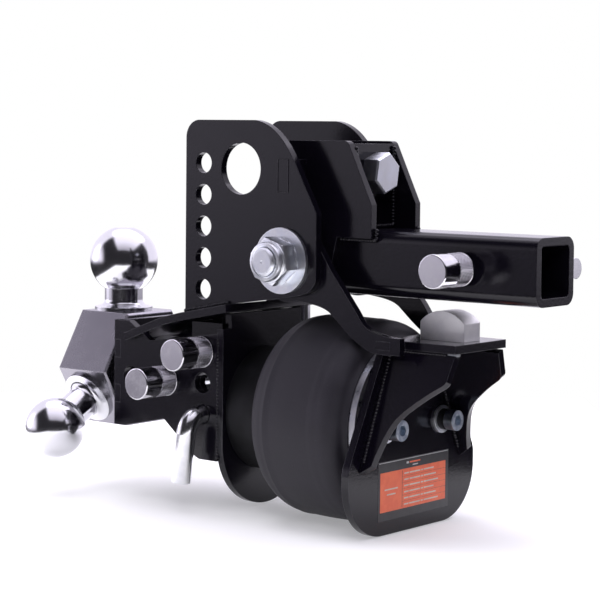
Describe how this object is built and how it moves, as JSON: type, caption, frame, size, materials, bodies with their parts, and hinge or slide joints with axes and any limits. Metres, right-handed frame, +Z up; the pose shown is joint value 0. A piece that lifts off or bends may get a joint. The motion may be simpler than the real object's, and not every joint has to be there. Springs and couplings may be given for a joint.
{
  "type": "air-cushioned trailer hitch",
  "caption": "Adjustable receiver hitch with a rubber air cushion, a swivelling block carrying two towing balls, and locking pins.",
  "frame": {"origin": "on the axis of the main pivot bolt, at the middle plane, which is also on the shank's centre line", "axes": "+X along the shank towards the towing vehicle, +Z up, -Y towards the side with the pivot nut and three of the lock heads"},
  "size_m": [0.4684, 0.1972, 0.315],
  "materials": {
    "gloss_black_paint": "gloss black powder coat",
    "zinc_plate": "bright zinc plating",
    "cast_zinc": "satin zinc plating on a sawn block",
    "screw_steel": "satin stainless steel",
    "plain_steel": "turned steel",
    "block_steel": "machined steel with satin faces",
    "chrome": "polished chrome plate",
    "pin_chrome": "bright plated pin",
    "lock_chrome": "chrome plate, half of it knurled",
    "bead_steel": "bright zinc plating",
    "black_plastic": "moulded black plastic",
    "bag_rubber": "matt black reinforced rubber"
  },
  "bodies": {
    "shank_side": {"shank": "gloss_black_paint", "pivot_sleeve": "plain_steel", "shank_gusset_left": "gloss_black_paint", "shank_gusset_right": "gloss_black_paint", "stop_plate": "gloss_black_paint", "stop_bolt": "zinc_plate", "stop_bolt_washer": "zinc_plate", "stop_bolt_nut": "zinc_plate"},
    "ball_side": {"side_plate_left": "gloss_black_paint", "side_plate_right": "gloss_black_paint", "guide_lugs": "gloss_black_paint", "roof_plate": "gloss_black_paint", "bag_plate": "gloss_black_paint", "channel_leg_left": "gloss_black_paint", "channel_leg_right": "gloss_black_paint", "mount_plate_left": "gloss_black_paint", "mount_plate_right": "gloss_black_paint", "front_plate": "gloss_black_paint", "swivel_bearing": "plain_steel", "pivot_bolt": "zinc_plate", "pivot_washers": "zinc_plate", "pivot_nut": "zinc_plate", "bag_piston": "black_plastic"},
    "swivel": {"swivel_block": "block_steel", "upper_ball": "chrome", "lower_ball": "chrome", "swivel_keeper": "plain_steel"},
    "cushion_side": {"arm_left": "gloss_black_paint", "arm_right": "gloss_black_paint", "platform": "gloss_black_paint", "label_plate": "gloss_black_paint", "gusset_left": "gloss_black_paint", "gusset_right": "gloss_black_paint", "rocker_block": "cast_zinc", "rocker_screw": "zinc_plate", "bag_screws": "screw_steel", "bag_spacers": "black_plastic", "bag_washers": "zinc_plate", "bag_bead_plate": "bead_steel", "bag_inserts": "plain_steel", "air_bag": "bag_rubber"},
    "hitch_pin_body": {"hitch_pin": "pin_chrome"},
    "hitch_lock_body": {"hitch_pin_lock": "lock_chrome"},
    "upper_pin_body": {"upper_pin": "pin_chrome"},
    "upper_lock_body": {"upper_pin_lock": "lock_chrome"},
    "swivel_pin_body": {"swivel_pin": "pin_chrome"},
    "swivel_lock_body": {"swivel_pin_lock": "lock_chrome"},
    "lower_pin_body": {"lower_pin": "pin_chrome"},
    "lower_lock_body": {"lower_pin_lock": "lock_chrome"}
  },
  "joints": [
    {"name": "ball_side_pivot", "type": "hinge", "parent": "shank_side", "child": "ball_side", "pos_m": [0, 0, 0], "axis": [0, 1, 0], "range_deg": [-3.8, 1], "stiffness_Nm_per_rad": 2000, "springref_deg": 0.34},
    {"name": "cushion_side_pivot", "type": "hinge", "parent": "ball_side", "child": "cushion_side", "pos_m": [0, 0, 0], "axis": [0, 1, 0], "range_deg": [0, 4], "stiffness_Nm_per_rad": 1500, "springref_deg": -0.57, "deforming": ["air_bag"]},
    {"name": "block_swivel", "type": "hinge", "parent": "ball_side", "child": "swivel", "pos_m": [-0.2, 0, -0.1042], "axis": [1, 0, 0], "continuous": true},
    {"name": "hitch_pin_turn", "type": "hinge", "parent": "shank_side", "child": "hitch_pin_body", "pos_m": [0.1522, 0, 0], "axis": [0, 1, 0], "range_deg": [-25, 25]},
    {"name": "hitch_lock_pull", "type": "slide", "parent": "hitch_pin_body", "child": "hitch_lock_body", "axis": [0, -1, 0], "range_m": [0, 0.02]},
    {"name": "upper_pin_turn", "type": "hinge", "parent": "ball_side", "child": "upper_pin_body", "pos_m": [-0.0828, 0, -0.0778], "axis": [0, 1, 0], "range_deg": [-25, 25]},
    {"name": "upper_lock_pull", "type": "slide", "parent": "upper_pin_body", "child": "upper_lock_body", "axis": [0, -1, 0], "range_m": [0, 0.02]},
    {"name": "swivel_pin_turn", "type": "hinge", "parent": "ball_side", "child": "swivel_pin_body", "pos_m": [-0.1218, 0, -0.1042], "axis": [0, 1, 0], "range_deg": [-25, 25]},
    {"name": "swivel_lock_pull", "type": "slide", "parent": "swivel_pin_body", "child": "swivel_lock_body", "axis": [0, -1, 0], "range_m": [0, 0.02]},
    {"name": "lower_pin_turn", "type": "hinge", "parent": "ball_side", "child": "lower_pin_body", "pos_m": [-0.0828, 0, -0.1286], "axis": [0, 1, 0], "range_deg": [-25, 25]},
    {"name": "lower_lock_pull", "type": "slide", "parent": "lower_pin_body", "child": "lower_lock_body", "axis": [0, 1, 0], "range_m": [0, 0.02]}
  ]
}
